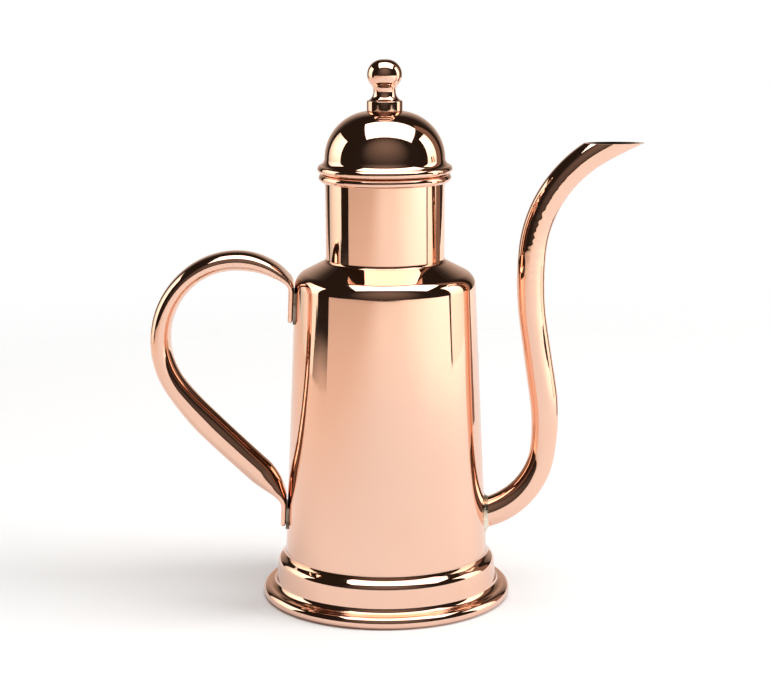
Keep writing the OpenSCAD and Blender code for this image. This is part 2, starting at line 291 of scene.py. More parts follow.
print("rings in 100 mm of straight wall:", math.ceil(100 / RING_STEP), "of", TURNS, "steps each")


# %% [markdown]
# ## Shader writing
# A finish is mostly sums: a mask times a strength, added to a roughness. Nodes for such sums are
# slow to read as a list of calls, so one small class wraps a node's output and lets Python's own
# operators add the Math nodes. Colours go through Mix nodes, because a Math node would turn them
# grey.

# %% A socket that does sums
class Wire:
    """One output socket of a node, with the sums that the finishes need."""

    def __init__(self, tree, socket):
        self.tree, self.socket = tree, socket

    def node(self, kind, settings=None, values=None, output=0):
        """Adds a node of a type, sets its settings, then its sockets, and returns one output."""
        made = self.tree.nodes.new(kind)
        for key, value in (settings or {}).items():
            setattr(made, key, value)
        for key, value in (values or {}).items():
            if isinstance(value, Wire):
                self.tree.links.new(value.socket, made.inputs[key])
            else:
                made.inputs[key].default_value = value
        return Wire(self.tree, made.outputs[output])

    def sum_node(self, operation, *values):
        return self.node("ShaderNodeMath", {"operation": operation}, dict(enumerate(values)))

    def __add__(self, other):
        return self.sum_node("ADD", self, other)

    def __sub__(self, other):
        return self.sum_node("SUBTRACT", self, other)

    def __mul__(self, other):
        return self.sum_node("MULTIPLY", self, other)

    __radd__, __rmul__ = __add__, __mul__

    def ramp(self, low, high):
        """0 below low, 1 above high, smooth between. low may be the larger."""
        return self.node("ShaderNodeMapRange", {"interpolation_type": "SMOOTHSTEP"},
                         {"Value": self, "From Min": low, "From Max": high})

    def mix(self, colour_0, colour_1):
        """A colour between two colours, by this value."""
        return self.node("ShaderNodeMix", {"data_type": "RGBA"},
                         {"Factor": self, 6: colour_0, 7: colour_1}, output=2)


def new_finish(name):
    """An empty material, its Principled shader and a Wire with the place on the object."""
    material = bpy.data.materials.new(name)
    material.use_nodes = True
    tree = material.node_tree
    shader = next(n for n in tree.nodes if n.type == "BSDF_PRINCIPLED")
    coordinates = tree.nodes.new("ShaderNodeTexCoord")
    return material, shader, Wire(tree, coordinates.outputs["Object"])


def connect(wire, shader, socket):
    """Feeds a shader's socket from a wire."""
    wire.tree.links.new(wire.socket, shader.inputs[socket])


def noise_at(place, scale, detail=2.0, rough=0.5):
    """Plain noise, about 0 to 1 and 0.5 on average."""
    return place.node("ShaderNodeTexNoise", None,
                      {"Vector": place, "Scale": scale, "Detail": detail, "Roughness": rough})


def length_of(place):
    """How far a place is from the middle, m."""
    return place.node("ShaderNodeVectorMath", {"operation": "LENGTH"}, {0: place}, output=1)


def part_of(place, axis):
    """A place's X, Y or Z, m."""
    return place.node("ShaderNodeSeparateXYZ", None, {0: place}, output="XYZ".index(axis))


print("sums that a wire can do: +, -, *, ramp, mix")


# %% [markdown]
# ## Polished copper
# Polished copper reflects red almost fully and blue by less than a half, which is what gives white
# paper a pink reflection in it. The base colour is that reflectance. A buffed surface is a mirror
# with faint wheel marks: on a spun piece they run round the pot, so their noise is drawn on
# radius and height only. In the corners shade is painted into the colour: the copper is made a
# little darker and browner there, and rougher, and the masks for those come from height.

# %% Copper finishes
COPPER = (0.955, 0.625, 0.475, 1)
# The colour of the painted shade in the creases.
CREASE_SHADE_COPPER = (0.62, 0.27, 0.14, 1)
WARM_COPPER = (0.93, 0.55, 0.37, 1)


def ring_place(place):
    """A place that is the same all round the pot: radius and height."""
    flat = place.node("ShaderNodeVectorMath", {"operation": "MULTIPLY"}, {0: place, 1: (1, 1, 0)})
    return place.node("ShaderNodeCombineXYZ", None,
                      {"X": length_of(flat), "Y": 0.0, "Z": part_of(place, "Z")})


def shade_and_dull_band(place, height, reach):
    """1 at a height, in metres, and 0 further than reach from it."""
    away = part_of(place, "Z") - height
    return away.sum_node("ABSOLUTE", away).ramp(reach, 0.0)


def polished_copper(name, spun, creases=(), gloss=0.035):
    """Mirror-polished copper; creases are (height, reach) pairs in mm where shade is painted in."""
    material, shader, place = new_finish(name)
    cloud = noise_at(place, 38.0, 3.0)
    colour = cloud.ramp(0.35, 0.75).mix(COPPER, WARM_COPPER)
    colour = (cloud.ramp(0.5, 0.8) * 0.25).mix(COPPER, colour)
    rough = gloss + 0.02 * noise_at(place, 120.0, 3.0).ramp(0.4, 0.75)
    if spun:
        marks = noise_at(ring_place(place), 2600.0, 2.0, 0.6)
    else:
        marks = noise_at(place, 900.0, 3.0, 0.6)
    rough = rough + 0.03 * marks.ramp(0.45, 0.8)
    # Painted shade: the creases are made darker and browner, and also rougher.
    if creases:
        crease_shade_and_dullness = 0.0
        for height, reach in creases:
            crease_shade_and_dullness = shade_and_dull_band(place, height * MM, reach * MM) + crease_shade_and_dullness
        crease_shade_and_dullness = crease_shade_and_dullness * (0.45 + 0.55 * noise_at(place, 240.0, 3.0))
        colour = (crease_shade_and_dullness * 0.75).mix(colour, CREASE_SHADE_COPPER)
        rough = rough + 0.12 * crease_shade_and_dullness
    scratch = marks.node("ShaderNodeBump", None,
                         {"Height": marks, "Strength": 0.05, "Distance": 0.00002})
    connect(colour, shader, "Base Color")
    connect(rough, shader, "Roughness")
    connect(scratch, shader, "Normal")
    shader.inputs["Metallic"].default_value = 1.0
    return material


NECK_CORNER_Z = SHOULDER_Z + (wall_radius(SHOULDER_Z) - NECK_R - GAP) * math.tan(SHOULDER_SLOPE)
# Heights where shade is painted into creases: the neck's corner, the foot's step, the knob's foot,
# the foot's standing edge and just above its rolled edge.
spun_copper = polished_copper("spun_copper", True,
                              [(NECK_CORNER_Z + 0.4, 1.3), (FOOT_STEP + 0.2, 1.2)])
lid_copper = polished_copper("lid_copper", True, [(DOME_TOP + 0.1, 0.7)])
foot_copper = polished_copper("foot_copper", True, [(0.0, 1.4), (5.6, 0.9)])
tube_copper = polished_copper("tube_copper", False)
print("copper finishes:", [m.name for m in (spun_copper, lid_copper, foot_copper, tube_copper)])


# %% [markdown]
# ## The other finishes
# Inside, the copper has only been wiped clean, so it is duller, browner and blotched. Silver
# solder is a pale yellowish white that froze with a slightly wrinkled skin. Behind the handle's
# tabs the solder is given a dark grey brown, which is painted shade for the gap between tab and
# wall. The wires are hidden in their beads and are plain drawn wire. Screw and washer are turned
# brass. One helper makes all five from two close colours in blotches and a fine grain.

# %% Inside copper, silver solder, wire and brass
def plain_metal(name, colour, stain, gloss, grain, blotch=60.0, bump=0.1):
    """A metal of two close colours in blotches, with grain in its roughness and its surface."""
    material, shader, place = new_finish(name)
    patches = noise_at(place, blotch, 4.0).ramp(0.35, 0.7)
    specks = noise_at(place, grain, 3.0, 0.6)
    connect(patches.mix(colour, stain), shader, "Base Color")
    connect(gloss + 0.14 * patches + 0.1 * specks, shader, "Roughness")
    wrinkles = specks.node("ShaderNodeBump", None,
                           {"Height": specks, "Strength": bump, "Distance": 0.0001})
    connect(wrinkles, shader, "Normal")
    shader.inputs["Metallic"].default_value = 1.0
    return material


inside_copper = plain_metal("inside_copper", (0.80, 0.44, 0.30, 1), (0.52, 0.24, 0.14, 1),
                            0.22, 700.0, 45.0, 0.12)
silver_solder = plain_metal("silver_solder", (0.90, 0.84, 0.72, 1), (0.80, 0.70, 0.54, 1),
                            0.16, 900.0, 220.0, 0.35)
# Painted shade: the solder behind the handle's tabs is made a dark grey brown.
solder_in_painted_shade = plain_metal("solder_in_painted_shade", (0.42, 0.36, 0.29, 1), (0.2, 0.15, 0.11, 1),
                               0.3, 1200.0, 260.0, 0.4)
drawn_wire = plain_metal("drawn_wire", (0.72, 0.40, 0.27, 1), (0.5, 0.24, 0.15, 1), 0.3, 1500.0)
turned_brass = plain_metal("turned_brass", (0.86, 0.66, 0.34, 1), (0.74, 0.52, 0.24, 1),
                           0.18, 1600.0, 150.0, 0.08)
print("plain finishes:", [m.name for m in (inside_copper, silver_solder, solder_in_painted_shade,
                                           drawn_wire, turned_brass)])


# %% [markdown]
# ## Putting a piece in place
# Every new piece stands for one CAD node: it rides on that node's body and hides the node. One
# helper does all of that and prints how far the new piece's box is from the node's, which catches a
# wrong size at once.

# %% Standing for a CAD node
def stand_for(piece, node, body, slot, *materials):
    """Places a finished piece instead of a CAD node and prints the difference of their boxes."""
    for material in materials:
        piece.data.materials.append(material)
    corners = [v.co for v in piece.data.vertices]
    low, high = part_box(node)
    off = max(abs(end(c[i] for c in corners) - side[i])
              for i in range(3) for end, side in ((min, low), (max, high)))
    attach(piece, body)
    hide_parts(node)
    print(f"{piece.name}: {len(piece.data.polygons)} faces, box off by {off / MM:.2f} mm")
    return piece


def keep_node(node, material):
    """A CAD node whose shape is right keeps it and gets the finer material."""
    kept = frame["nodes"][node]
    kept.data.materials.clear()
    kept.data.materials.append(material)
    print(f"{node}: kept, {material.name}")


# %% [markdown]
# ## Body
# The wall and shoulder are one spun sheet: a straight taper, a round of 7 mm and a slope up to the
# hole for the neck. The inner face is the same path moved inward by the sheet's thickness, so the
# sheet is as thick in the round as it is in the wall.

# %% Body shell
shell_outer = [
    (wall_radius(WALL_LOW), WALL_LOW, 0),
    (wall_radius(SHOULDER_Z), SHOULDER_Z, SHOULDER_ROUND),
    (NECK_R + GAP, NECK_CORNER_Z, 0),
]
outer_points = rounded(shell_outer)
inner_points = rounded(moved_left(shell_outer, SHEET))
slope_drop = (NECK_R + GAP - inner_points[-1][0]) * math.tan(SHOULDER_SLOPE)
inner_points[-1] = (NECK_R + GAP, inner_points[-1][1] - slope_drop)
body_shell = spin_piece("copper_body", outer_points + inner_points[::-1],
                        inside_from=len(outer_points), wave=0.035)
print("body:", len(body_shell.data.polygons), "faces before its hole is cut")

# %% [markdown]
# ## Neck
# The neck is a straight tube whose top is rolled outward over a wire, which makes the mouth stiff.
# The roll is two arcs round the wire, one for each face of the sheet. The corner between neck and
# shoulder was brazed and polished to a small hollow round, so it is its own thin piece, as in the
# CAD model.

# %% Neck, mouth wire and the brazed corner
NECK_BRAZE_ROUND = 1.75
BRAZE_RUN, BRAZE_REACH = 4, 9    # how far a braze's two sides are drawn before they are cut off
bead = (NECK_R + RIM_WIRE, MOUTH_TOP - RIM_WIRE - SHEET)
neck_foot = low_z("neck_tube")
neck_outline = ([(NECK_R, neck_foot)] + arc(bead, RIM_WIRE, 180, -125, 8)
                + arc(bead, RIM_WIRE + SHEET, -125, 180, 3) + [(NECK_R - SHEET, neck_foot)])
neck_inside = len(neck_outline) - 1
neck = spin_piece("neck_with_rolled_mouth", neck_outline, inside_from=neck_inside - 1,
                  inside_to=neck_inside + 1, wave=0.02)
fillet = rounded([
    (NECK_R + BRAZE_RUN, NECK_CORNER_Z - BRAZE_RUN * math.tan(SHOULDER_SLOPE), 0),
    (NECK_R + GAP, NECK_CORNER_Z + GAP, NECK_BRAZE_ROUND),
    (NECK_R + GAP, NECK_CORNER_Z + BRAZE_REACH, 0)])[1:-1]
neck_braze = spin_piece("neck_braze", [(NECK_R + GAP, NECK_CORNER_Z + GAP)] + fillet)

stand_for(neck, "neck_tube", "pot", "copper", spun_copper, inside_copper)
stand_for(neck_braze, "neck_solder", "pot", "copper_braze", spun_copper)
keep_node("mouth_wire", drawn_wire)


# %% [markdown]
# ## Foot
# The foot is a stepped ring of sheet. Its step slopes down from the wall like a low roof, turns
# down into a short skirt, and the skirt turns out to the edge. The edge is rolled under round a
# heavy wire, and the roll is worn flat where it stands, so its arc stops at the table. The step's
# corner with the wall is brazed to a hollow round, like the corner at the neck.

# %% Foot ring
foot_bead_round = FOOT_WIRE + SHEET
foot_bead = (FOOT_R - foot_bead_round, foot_bead_round - 0.05)
foot_top = foot_bead[1] + foot_bead_round
flat_angle = math.degrees(math.asin(foot_bead[1] / foot_bead_round))
FOOT_SLOPE = math.radians(39)    # slope of the step
SKIRT_TOP_R, SKIRT_TOP_ROUND = 48.3, 3.4
SKIRT_LOW_R, SKIRT_LOW_ROUND = 49.5, 3.0
foot_seat_r = wall_radius(FOOT_STEP) + GAP
skirt_top_z = FOOT_STEP - (SKIRT_TOP_R - foot_seat_r) * math.tan(FOOT_SLOPE)
foot_path = [(foot_seat_r, FOOT_STEP, 0), (SKIRT_TOP_R, skirt_top_z, SKIRT_TOP_ROUND),
             (SKIRT_LOW_R, foot_top, SKIRT_LOW_ROUND), (foot_bead[0] + 0.4, foot_top, 0)]
foot_outer = rounded(foot_path)[:-1]
down, level = math.sin(FOOT_SLOPE), math.cos(FOOT_SLOPE)
along = SHEET * (down + TAPER * level) / (level - TAPER * down)
foot_seat = (foot_seat_r - SHEET * down + along * level, FOOT_STEP - SHEET * level - along * down)
foot_inner = [foot_seat] + rounded(moved_left(foot_path, -SHEET))[1:-1]
foot_outline = (foot_outer + arc(foot_bead, foot_bead_round, 90, -flat_angle, 3)
                + arc(foot_bead, foot_bead_round, flat_angle - 180, -200, 4)
                + arc(foot_bead, FOOT_WIRE, -200, 90, 8) + foot_inner[::-1])
foot = spin_piece("stepped_foot", foot_outline, inside_from=len(foot_outline) - len(foot_inner) - 1,
                  wave=0.02)
stand_for(foot, "foot_ring", "pot", "copper", foot_copper, inside_copper)
keep_node("foot_wire", drawn_wire)

FOOT_BRAZE_ROUND = 3
braze_z = FOOT_STEP + GAP
braze_r = wall_radius(braze_z) + GAP
braze_arc = rounded([
    (braze_r + BRAZE_RUN, braze_z - BRAZE_RUN * math.tan(FOOT_SLOPE), 0),
    (braze_r, braze_z, FOOT_BRAZE_ROUND),
    (wall_radius(braze_z + BRAZE_REACH) + GAP, braze_z + BRAZE_REACH, 0)])[1:-1]
foot_seam = spin_piece("foot_braze", [(braze_r, braze_z)] + braze_arc)
stand_for(foot_seam, "foot_solder", "pot", "copper_braze", spun_copper)

# %% [markdown]
# ## Bottom
# The bottom is a flat plate, dropped in from below with its rim turned down, and soldered round
# the inside. The solder is a thin wedge with a hollow face, because it wets both pieces of copper
# as it melts.

# %% Bottom plate and its solder
PLATE_Z = high_z("bottom_plate")
rim = wall_radius(PLATE_Z) - SHEET - 0.2
plate_top = [(0, PLATE_Z)] + rounded([(rim - 3, PLATE_Z, 0), (rim, PLATE_Z, 1.6),
                                      (rim, WALL_LOW, 0)])
plate_under = rounded([(rim - 3, PLATE_Z - SHEET, 0), (rim - SHEET, PLATE_Z - SHEET, 0.7),
                       (rim - SHEET, WALL_LOW, 0)])[::-1] + [(0, PLATE_Z - SHEET)]
bottom = spin_piece("bottom_plate_disc", plate_top + plate_under, turns=144, closed=False)
stand_for(bottom, "bottom_plate", "pot", "copper", inside_copper)

seam_z = low_z("bottom_solder") + 0.8
seam_side = [(wall_radius(z) - SHEET - 0.08, z) for z in (seam_z - 0.8, seam_z + 1)]
seam_r = seam_side[1][0]
bottom_seam = spin_piece("bottom_silver_seam", seam_side + [
    (seam_r - 0.2, seam_z + 0.62), (seam_r - 0.5, seam_z + 0.35), (seam_r - 1.0, seam_z + 0.13),
    (seam_r - 1.6, seam_z + 0.02), (seam_r - 1.4, seam_z)], turns=144)
stand_for(bottom_seam, "bottom_solder", "pot", "silver_solder", silver_solder)


# %% [markdown]
# ## Lid
# The lid is a spun dome whose skirt flares out into a rolled rim that sits on the mouth's bead.
# The flare and the roll are two arcs that touch, and the distance between their centres gives the
# angle where they do, so the mirror shows no kink there.

# %% Dome with its flared and rolled rim
lid_wire = RIM_WIRE - 0.1
lid_bead_round = lid_wire + SHEET
lid_bead = (LID_R - lid_bead_round, MOUTH_TOP + 0.2 + lid_bead_round)
FLARE = 3.5
touch = math.degrees(math.acos((DOME_R + FLARE - lid_bead[0]) / (FLARE + lid_bead_round)))
flare_hub = (DOME_R + FLARE, lid_bead[1] + (FLARE + lid_bead_round) * math.sin(math.radians(touch)))
SCREW_R = 2.0
dome_path = [(SCREW_R + 0.2, DOME_TOP, 0), (DOME_R, DOME_TOP, DOME_ROUND),
             (DOME_R, flare_hub[1], 0)]
dome_skin = (rounded(dome_path) + arc(flare_hub, FLARE, 180, 180 + touch, 4)
             + arc(lid_bead, lid_bead_round, touch, -165, 4))
dome_lining = (arc(lid_bead, lid_wire, -165, touch, 10)
               + arc(flare_hub, FLARE + SHEET, 180, 180 + touch, 6)[::-1]
               + rounded(moved_left(dome_path, -SHEET))[::-1])
dome = spin_piece("lid_dome_with_rim", dome_skin + dome_lining, inside_from=len(dome_skin),
                  wave=0.02)
stand_for(dome, "lid_dome", "lid", "copper", lid_copper, inside_copper)
keep_node("lid_wire", drawn_wire)

# %% [markdown]
# ## Collar
# A short ring of sheet is soldered inside the lid and drops into the neck, so the lid can't slide
# off when the pot is tipped. Its lower edge is filed round to find its way in.

# %% Collar and its solder
COLLAR_R = radius("lid_collar")
collar_low, collar_high = low_z("lid_collar"), high_z("lid_collar")
collar = spin_piece("lid_collar_ring", [
    (COLLAR_R, collar_low + 0.5), (COLLAR_R, collar_high), (COLLAR_R - SHEET, collar_high),
    (COLLAR_R - SHEET, collar_low), (COLLAR_R - 0.5, collar_low),
    (COLLAR_R - 0.15, collar_low + 0.2)])
stand_for(collar, "lid_collar", "lid", "copper", inside_copper)
lid_seam_r = DOME_R - SHEET - 0.08
lid_seam = spin_piece("lid_silver_seam", [
    (COLLAR_R + 0.08, collar_high - 1.6), (lid_seam_r, collar_high - 0.6),
    (lid_seam_r, collar_high + 0.6), (COLLAR_R + 0.4, collar_high + 0.1),
    (COLLAR_R + 0.08, collar_high)], turns=144)
stand_for(lid_seam, "lid_solder", "lid", "silver_solder", silver_solder)

# %% [markdown]
# ## Knob
# The knob is turned from solid copper: a flat plinth, a hollow waist and a ball. A brass screw and
# washer hold it from inside the dome. Waist and ball are arcs that touch, like the rim's. The CAD
# screw is small and hidden, so it stays as it is.

# %% Turned knob, washer and screw
PLINTH_R, PLINTH_H = 7.72, 4.4
WAIST_R, WAIST_ROUND, WAIST_H = 4.8, 4.4, 8.4
WAIST_START = math.radians(240)  # where the waist's arc leaves the plinth
BALL_ROUND, BALL_HUB_R = 6.5, 1.03
waist_hub = (WAIST_R + WAIST_ROUND, DOME_TOP + WAIST_H)
rise = math.sqrt((BALL_ROUND + WAIST_ROUND) ** 2 - (waist_hub[0] - BALL_HUB_R) ** 2)
ball_hub = (BALL_HUB_R, waist_hub[1] + rise)
meet = math.degrees(math.atan2(rise, BALL_HUB_R - waist_hub[0]))
tapped_r, tapped_top = SCREW_R + 0.02, DOME_TOP + 9.2
knob_outline = (
    [(0, tapped_top), (tapped_r, tapped_top), (tapped_r, DOME_TOP)]
    + rounded([(PLINTH_R - 2, DOME_TOP, 0), (PLINTH_R, DOME_TOP, 0.25),
               (PLINTH_R, DOME_TOP + PLINTH_H, 0.45),
               (waist_hub[0] + WAIST_ROUND * math.cos(WAIST_START),
                waist_hub[1] + WAIST_ROUND * math.sin(WAIST_START), 0)])
    + arc(waist_hub, WAIST_ROUND, 240, meet, 4)[1:]
    + arc(ball_hub, BALL_ROUND, meet - 180, 90, 3)[1:]
    + [(0, ball_hub[1] + BALL_ROUND)])
knob = spin_piece("turned_knob", knob_outline, turns=192, closed=False, wave=0.01)
stand_for(knob, "knob", "lid", "copper", lid_copper)
washer_low, washer_high = low_z("knob_washer"), high_z("knob_washer")
WASHER_R, WASHER_EDGE = radius("knob_washer"), 0.15
washer_hole = SCREW_R + 0.15
washer = spin_piece("brass_washer", rounded([
    (washer_hole, washer_low, 0), (WASHER_R, washer_low, WASHER_EDGE),
    (WASHER_R, washer_high, WASHER_EDGE), (washer_hole, washer_high, 0)]), turns=96)
stand_for(washer, "knob_washer", "lid", "brass", turned_brass)
keep_node("knob_screw", turned_brass)


# %% [markdown]
# ## Bent tubes
# The smith bends spout and handle cold, one bend after another, so the honest way to describe
# them is a bending table: how far to go, how much to turn, and how thick the tube is at the end of
# that step. Walking down the table gives the tube's line. A curve with a bevel could do the spout,
# but not the handle, whose ends are hammered flat, so both are lofted from rings.
#
# Between two rows of a table the real tube doesn't change its bend at once, and a mirror would show
# it. So the turn is averaged over a few millimetres, and the thickness follows a curve through the
# rows' ends that never overshoots. What the averaging moves at the far end is put back evenly along
# the tube, so it still ends where the CAD tube ends.

# %% Walking down a bending table
WALK_STEP = 0.7                  # mm between rings
BEND_BLUR = 1.6                  # mm over which a change of bend is spread, each way


def between(knots, s):
    """A smooth value at distance s, through (distance, value) knots, without overshoot."""
    s = min(max(s, knots[0][0]), knots[-1][0])
    i = max(k for k in range(len(knots) - 1) if knots[k][0] <= s or k == 0)
    rises = [(b[1] - a[1]) / (b[0] - a[0]) for a, b in zip(knots, knots[1:])]

    def slope(k):
        if k in (0, len(knots) - 1) or rises[k - 1] * rises[k] <= 0:
            return 0.0
        return 2 * rises[k - 1] * rises[k] / (rises[k - 1] + rises[k])

    (s0, v0), (s1, v1) = knots[i], knots[i + 1]
    h, t = s1 - s0, (s - s0) / (s1 - s0)
    return (v0 * (1 + 2 * t) * (1 - t) ** 2 + slope(i) * h * t * (1 - t) ** 2
            + v1 * t * t * (3 - 2 * t) + slope(i + 1) * h * t * t * (t - 1))


def straight_between(knots, s):
    """A value at distance s on straight lines through the knots."""
    for (s0, v0), (s1, v1) in zip(knots, knots[1:]):
        if s <= s1:
            return v0 + (v1 - v0) * max(0.0, s - s0) / (s1 - s0)
    return knots[-1][1]


def follow(headings, length, x, z, blur):
    """Places and headings along the tube, a step apart."""
    count = round(length / WALK_STEP)
    step = length / count

    def heading(s):
        return sum(straight_between(headings, s + blur * k / 4) for k in range(-4, 5)) / 9

    places = [(x, z, heading(0.0))]
    for i in range(count):
        middle = math.radians(heading((i + 0.5) * step))
        x, z = x + step * math.cos(middle), z + step * math.sin(middle)
        places.append((x, z, heading((i + 1) * step)))
    return places


def walk(table, x, z, heading, thickness):
    """The tube's line as (x, z, heading in degrees, thickness, distance walked)."""
    headings, thicknesses, s = [(0.0, heading)], [(0.0, thickness)], 0.0
    for length, turn, end_thickness in table:
        s += length
        headings.append((s, headings[-1][1] + turn))
        thicknesses.append((s, end_thickness))
    sharp, smooth = (follow(headings, s, x, z, blur) for blur in (0.0, BEND_BLUR))
    off_x, off_z = sharp[-1][0] - smooth[-1][0], sharp[-1][1] - smooth[-1][1]
    last = len(smooth) - 1
    return [(px + off_x * i / last, pz + off_z * i / last, h, between(thicknesses, s * i / last),
             s * i / last) for i, (px, pz, h) in enumerate(smooth)]


def tube_ring(spot, half_thick, half_broad, squareness, sides, shift=None):
    """One ring of places square to the tube's line, in mm. squareness 2 is an ellipse."""
    x, z, heading = spot[0], spot[1], math.radians(spot[2])
    places = []
    for k in range(sides):
        c, s = math.cos(2 * math.pi * k / sides), math.sin(2 * math.pi * k / sides)
        grow = shift(spot, k) if shift else 0.0
        u = (half_thick + grow) * math.copysign(abs(c) ** (2 / squareness), c)
        v = (half_broad + grow) * math.copysign(abs(s) ** (2 / squareness), s)
        places.append((x - math.sin(heading) * u, v, z + math.cos(heading) * u))
    return places


def loft(bm, rings):
    """Faces between rings of places, in mm. Returns the rings' vertices."""
    made = [[bm.verts.new([c * MM for c in place]) for place in ring] for ring in rings]
    for a, b in zip(made, made[1:]):
        for k in range(len(a)):
            j = (k + 1) % len(a)
            bm.faces.new((a[k], a[j], b[j], b[k]))
    return made


# %% [markdown]
# ## Spout
# A swan-neck tube of about 12 mm, cut level at the top. Bending it left fine wrinkles across the
# tube, which fray the edges of reflections in the real thing. They are strongest on the outer side
# of the upper bend, and even there only a few hundredths of a millimetre high. They are moved into
# the mesh itself, so they are there in every render.

# %% Spout tube
SPOUT_ROOT = (41.5, 35.6)
SPOUT_HEADING = 17.0
SPOUT_D, SPOUT_T, SPOUT_SIDES = 13.4, 0.9, 96
SPOUT_BENDS = [(5, 0, SPOUT_D), (27.5, 46.5, 11.9), (10, 18, 11.4), (29, 17, 12.5),
               (28.5, 0, 12), (34, -13.5, 12.2), (55, -55.5, 12.2), (45, -14, 12)]
SPOUT_CUT = high_z("spout_tube")
spout_line = walk(SPOUT_BENDS, *SPOUT_ROOT, SPOUT_HEADING, SPOUT_D)


def bend_wrinkle(spot, k):
    """Wrinkles across the tube, strongest outside the upper bend, over a slow wave, mm."""
    around = 2 * math.pi * k / SPOUT_SIDES
    place = Vector((spot[4] * 0.42, math.cos(around) * 0.9, math.sin(around) * 0.9))
    slow = Vector((spot[4] * 0.07, math.cos(around) * 0.6, math.sin(around) * 0.6))
    upper = min(1.0, max(0.0, (spot[1] - 125) / 25)) * min(1.0, max(0.0, (197 - spot[1]) / 15))
    side = max(0.0, -math.sin(around)) ** 3
    return (0.002 + 0.05 * upper * side) * noise.noise(place) + 0.03 * noise.noise(slow)


bm = bmesh.new()
bore = [tube_ring(s, s[3] / 2 - SPOUT_T, s[3] / 2 - SPOUT_T, 2, SPOUT_SIDES) for s in spout_line]
skin = [tube_ring(s, s[3] / 2, s[3] / 2, 2, SPOUT_SIDES, bend_wrinkle) for s in spout_line]
skin_rings = loft(bm, skin)
bore_rings = loft(bm, bore)
bore_faces = {f for ring in bore_rings for v in ring for f in v.link_faces}
for face in bore_faces:
    face.material_index = 1
for k in range(SPOUT_SIDES):
    j = (k + 1) % SPOUT_SIDES
    bm.faces.new((skin_rings[0][j], skin_rings[0][k], bore_rings[0][k], bore_rings[0][j]))
geometry = list(bm.verts) + list(bm.edges) + list(bm.faces)
bmesh.ops.bisect_plane(bm, geom=geometry, plane_co=(0, 0, SPOUT_CUT * MM), plane_no=(0, 0, 1),
                       clear_outer=True, dist=1e-7)
lip = [e for e in bm.edges if e.is_boundary and all(abs(v.co.z - SPOUT_CUT * MM) < 1e-6
                                                    for v in e.verts)]
bmesh.ops.bridge_loops(bm, edges=lip)
spout = piece_from(bm, "swan_neck_spout")
stand_for(spout, "spout_tube", "pot", "copper", tube_copper, inside_copper)

# %% [markdown]
# The spout's hole is cut from the wall with a Boolean, because a round hole in a cone has no
# outline of its own to spin. It lies under the solder, so the cut's uneven faces don't show.

# %% The hole in the wall
bpy.ops.mesh.primitive_cylinder_add(vertices=128, radius=(SPOUT_D / 2 + GAP) * MM, depth=18 * MM)
drill = bpy.context.object
heading = math.radians(SPOUT_HEADING)
axis = Vector((math.cos(heading), 0, math.sin(heading)))
root = Vector((SPOUT_ROOT[0], 0, SPOUT_ROOT[1])) * MM
turned = axis.to_track_quat("Z", "Y").to_matrix().to_4x4()
drill.matrix_world = Matrix.Translation(root + axis * 3 * MM) @ turned
for material in (spun_copper, inside_copper):
    body_shell.data.materials.append(material)
cut = body_shell.modifiers.new("spout_hole", "BOOLEAN")
cut.object, cut.operation, cut.solver = drill, "DIFFERENCE", "EXACT"
cut_mesh = bpy.data.meshes.new_from_object(body_shell.evaluated_get(
    bpy.context.evaluated_depsgraph_get()))
body_shell.modifiers.clear()
body_shell.data = finish_mesh(cut_mesh)
bpy.data.objects.remove(drill)
stand_for(body_shell, "body_shell", "pot", "copper")

# %% [markdown]
# The silver solder stands in a ring of about 2 mm round the spout's root. Each step round the tube
# finds where the tube meets the wall, and draws the solder's cross-section there: up the tube,
# over a slightly hollow face and out on to the wall.

# %% Solder ring at the spout
side_way = Vector((0, 1, 0))
up_way = axis.cross(side_way)


def spout_axis_place(angle, r, along):
    """A place at an angle and radius round the spout's straight root, mm."""
    out = side_way * math.cos(angle) + up_way * math.sin(angle)
    return root / MM + axis * along + out * r


def on_wall(angle, r):
    """Distance along the spout's axis at which a line at that angle and radius meets the wall."""
    low, high = -10.0, 20.0
    for _ in range(40):
        middle = (low + high) / 2
        p = spout_axis_place(angle, r, middle)
        if math.hypot(p.x, p.y) < wall_radius(p.z):
            low = middle
        else:
            high = middle
    return low


RING_STEPS = 144                 # steps round the tube
SOLDER_FACE = [(0, -0.2), (0, 1.75), (0.22, 1.55), (0.55, 1.12), (0.95, 0.72), (1.4, 0.38),
               (1.85, 0.12), (2.05, 0.03), (2.0, -0.05)]    # (from the tube, above the wall), mm
SOLDER_SINK = -0.05              # lowest place of the solder, just under the wall's surface
tube_r = SPOUT_D / 2 + 0.03
bm = bmesh.new()
solder_rings = []
for k in range(RING_STEPS):
    angle = 2 * math.pi * k / RING_STEPS
    lump = 0.12 * noise.noise(Vector((math.cos(angle) * 2.2, math.sin(angle) * 2.2, 5.0)))
    profile = []
    for out, lift in SOLDER_FACE:
        r = tube_r + out * (1 + lump)
        along = on_wall(angle, r) + max(SOLDER_SINK, lift * (1 + lump))
        profile.append(spout_axis_place(angle, r, along))
    solder_rings.append(profile)
loft(bm, solder_rings + solder_rings[:1])
bmesh.ops.remove_doubles(bm, verts=bm.verts, dist=1e-7)
solder_ring = piece_from(bm, "spout_solder_ring", sharp_degrees=60)
stand_for(solder_ring, "spout_solder", "pot", "silver_solder", silver_solder)


# %% [markdown]
# ## Handle
# One loop of tube. Both ends are hammered flat and folded down to lie on the wall as tabs. A tube
# keeps its circumference when it is flattened, so it gets broader as it gets thinner, and its
# section goes from round to a flat shape with rounded sides.

